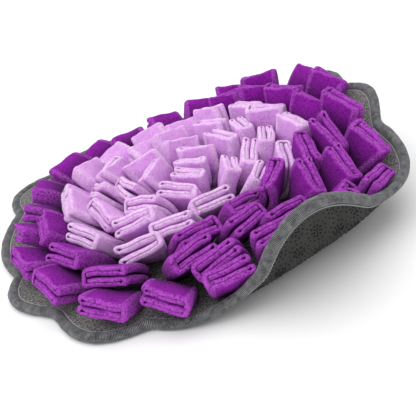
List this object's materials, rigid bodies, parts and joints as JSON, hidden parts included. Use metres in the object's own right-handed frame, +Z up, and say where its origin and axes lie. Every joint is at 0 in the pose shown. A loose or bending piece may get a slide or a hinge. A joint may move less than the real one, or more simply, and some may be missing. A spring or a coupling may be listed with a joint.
{
  "type": "snuffle mat",
  "caption": "Flower-shaped snuffle mat for a dog: scalloped cloth mat with a rolled edge, curled up on one side, covered in rings of folded fleece petals.",
  "frame": {"origin": "on the floor under the middle of the mat's bounding box", "axes": "+Z up; +X towards the side that curls up; -Y towards the near side in the picture"},
  "size_m": [0.3958, 0.4266, 0.0947],
  "materials": {
    "felt": "mottled grey-beige felt",
    "grip_cloth": "dark non-slip cloth with small raised dots",
    "binding": "brushed grey rolled binding",
    "purple_fleece": "deep purple short-pile fleece",
    "lilac_fleece": "light lilac short-pile fleece"
  },
  "bodies": {
    "root": {"edge_binding": "binding", "felt_base": "felt", "grip_backing": "grip_cloth", "petals_fifth_1": "lilac_fleece", "petals_fifth_2": "lilac_fleece", "petals_fifth_3": "lilac_fleece", "petals_fifth_4": "lilac_fleece", "petals_fourth_1": "lilac_fleece", "petals_fourth_2": "lilac_fleece", "petals_fourth_3": "lilac_fleece", "petals_fourth_4": "lilac_fleece", "petals_fourth_5": "lilac_fleece", "petals_fourth_6": "purple_fleece", "petals_inner_1": "lilac_fleece", "petals_inner_2": "lilac_fleece", "petals_middle_1": "lilac_fleece", "petals_outer_1": "purple_fleece", "petals_outer_10": "purple_fleece", "petals_outer_11": "purple_fleece", "petals_outer_2": "purple_fleece", "petals_outer_3": "purple_fleece", "petals_outer_4": "purple_fleece", "petals_outer_5": "purple_fleece", "petals_outer_6": "purple_fleece", "petals_outer_7": "purple_fleece", "petals_outer_8": "purple_fleece", "petals_outer_9": "purple_fleece", "petals_second_1": "purple_fleece", "petals_second_2": "purple_fleece", "petals_second_3": "purple_fleece", "petals_second_4": "purple_fleece", "petals_second_5": "purple_fleece", "petals_second_6": "purple_fleece", "petals_second_7": "purple_fleece", "petals_third_1": "lilac_fleece", "petals_third_2": "lilac_fleece", "petals_third_3": "lilac_fleece", "petals_third_4": "lilac_fleece", "petals_third_5": "lilac_fleece", "petals_third_6": "purple_fleece", "petals_third_7": "purple_fleece"}
  },
  "joints": []
}
